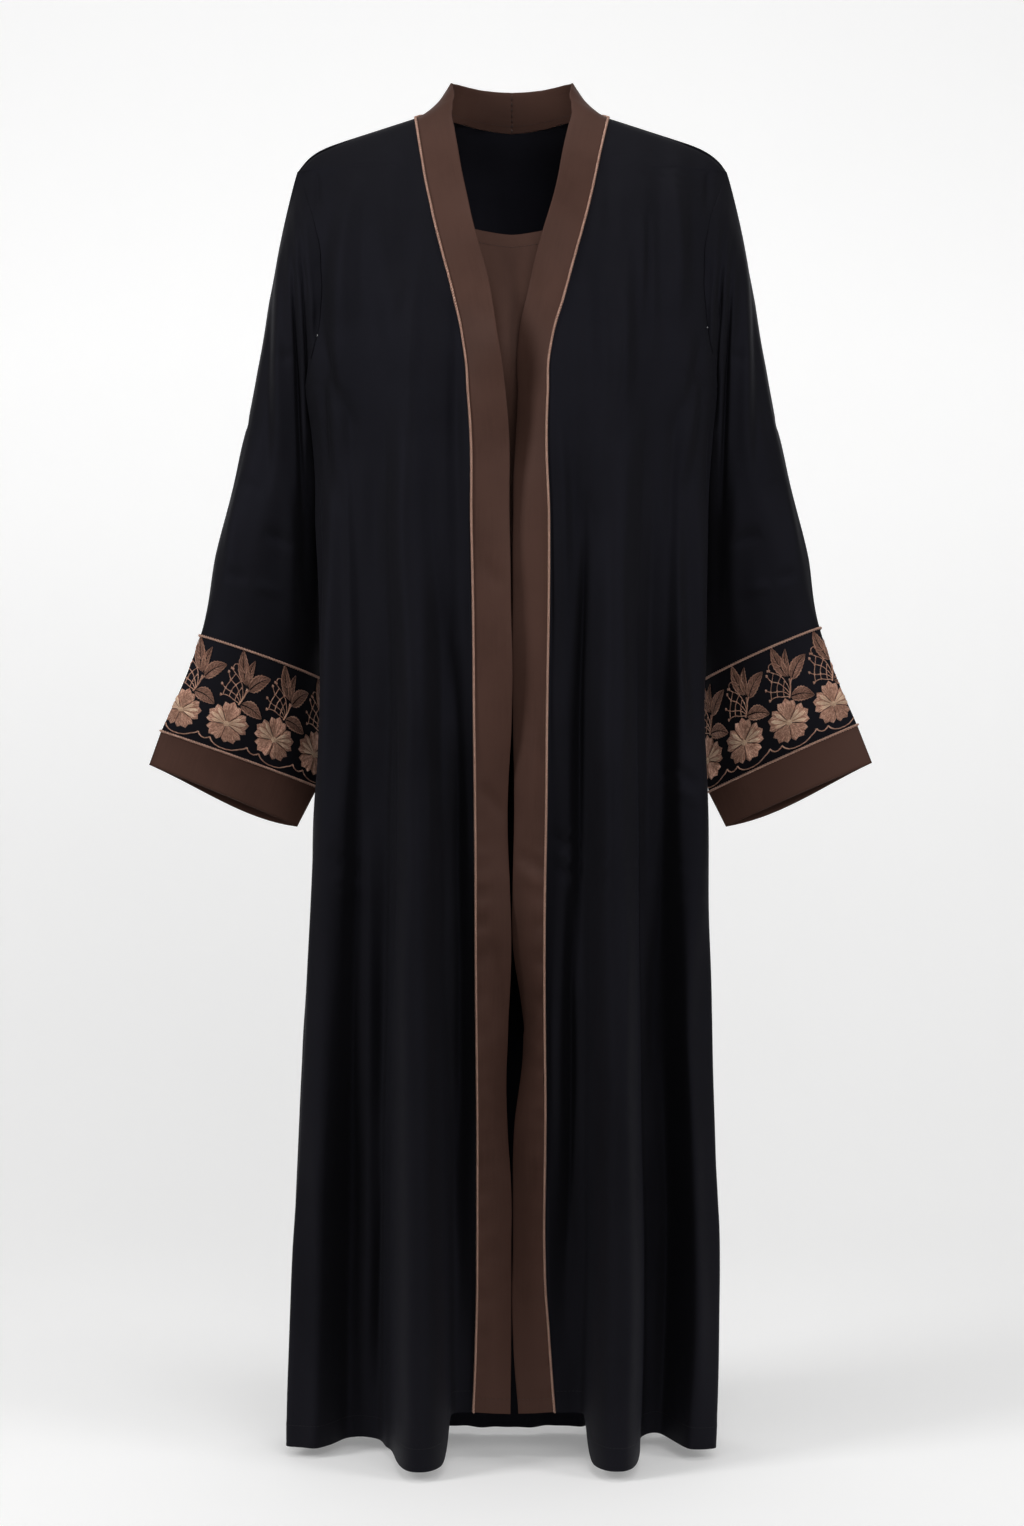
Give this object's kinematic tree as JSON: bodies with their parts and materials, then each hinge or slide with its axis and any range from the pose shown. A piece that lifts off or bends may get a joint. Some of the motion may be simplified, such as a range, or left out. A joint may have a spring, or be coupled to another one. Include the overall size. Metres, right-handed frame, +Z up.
{
  "type": "abaya",
  "caption": "Open-front full-length robe with long set-in sleeves, a front band that stands as a low collar, cord trims, cuffs and an inner chest panel, in its worn shape.",
  "frame": {"origin": "midway between the two high shoulder points, where the shoulder seams meet the neck and the wearer's shoulders carry the garment", "axes": "+Z up, along the length; the wearer faces -Y; +X to the wearer's left"},
  "size_m": [0.7706, 0.2679, 1.4321],
  "materials": {
    "black_crepe": "matt black crepe with a fine pebbled weave",
    "brown_satin": "dark brown satin-backed crepe with a soft sheen",
    "copper_cord": "twisted copper and rose-gold cord"
  },
  "bodies": {
    "root": {"front_left": "black_crepe", "front_right": "black_crepe", "back": "black_crepe", "sleeve_left": "black_crepe", "sleeve_right": "black_crepe", "cuff_left": "brown_satin", "cuff_right": "brown_satin", "band_left": "brown_satin", "band_right": "brown_satin", "inner_panel": "brown_satin", "front_cord_left": "copper_cord", "front_cord_right": "copper_cord", "upper_cord_left": "copper_cord", "upper_cord_right": "copper_cord", "lower_cord_left": "copper_cord", "lower_cord_right": "copper_cord"}
  },
  "joints": []
}
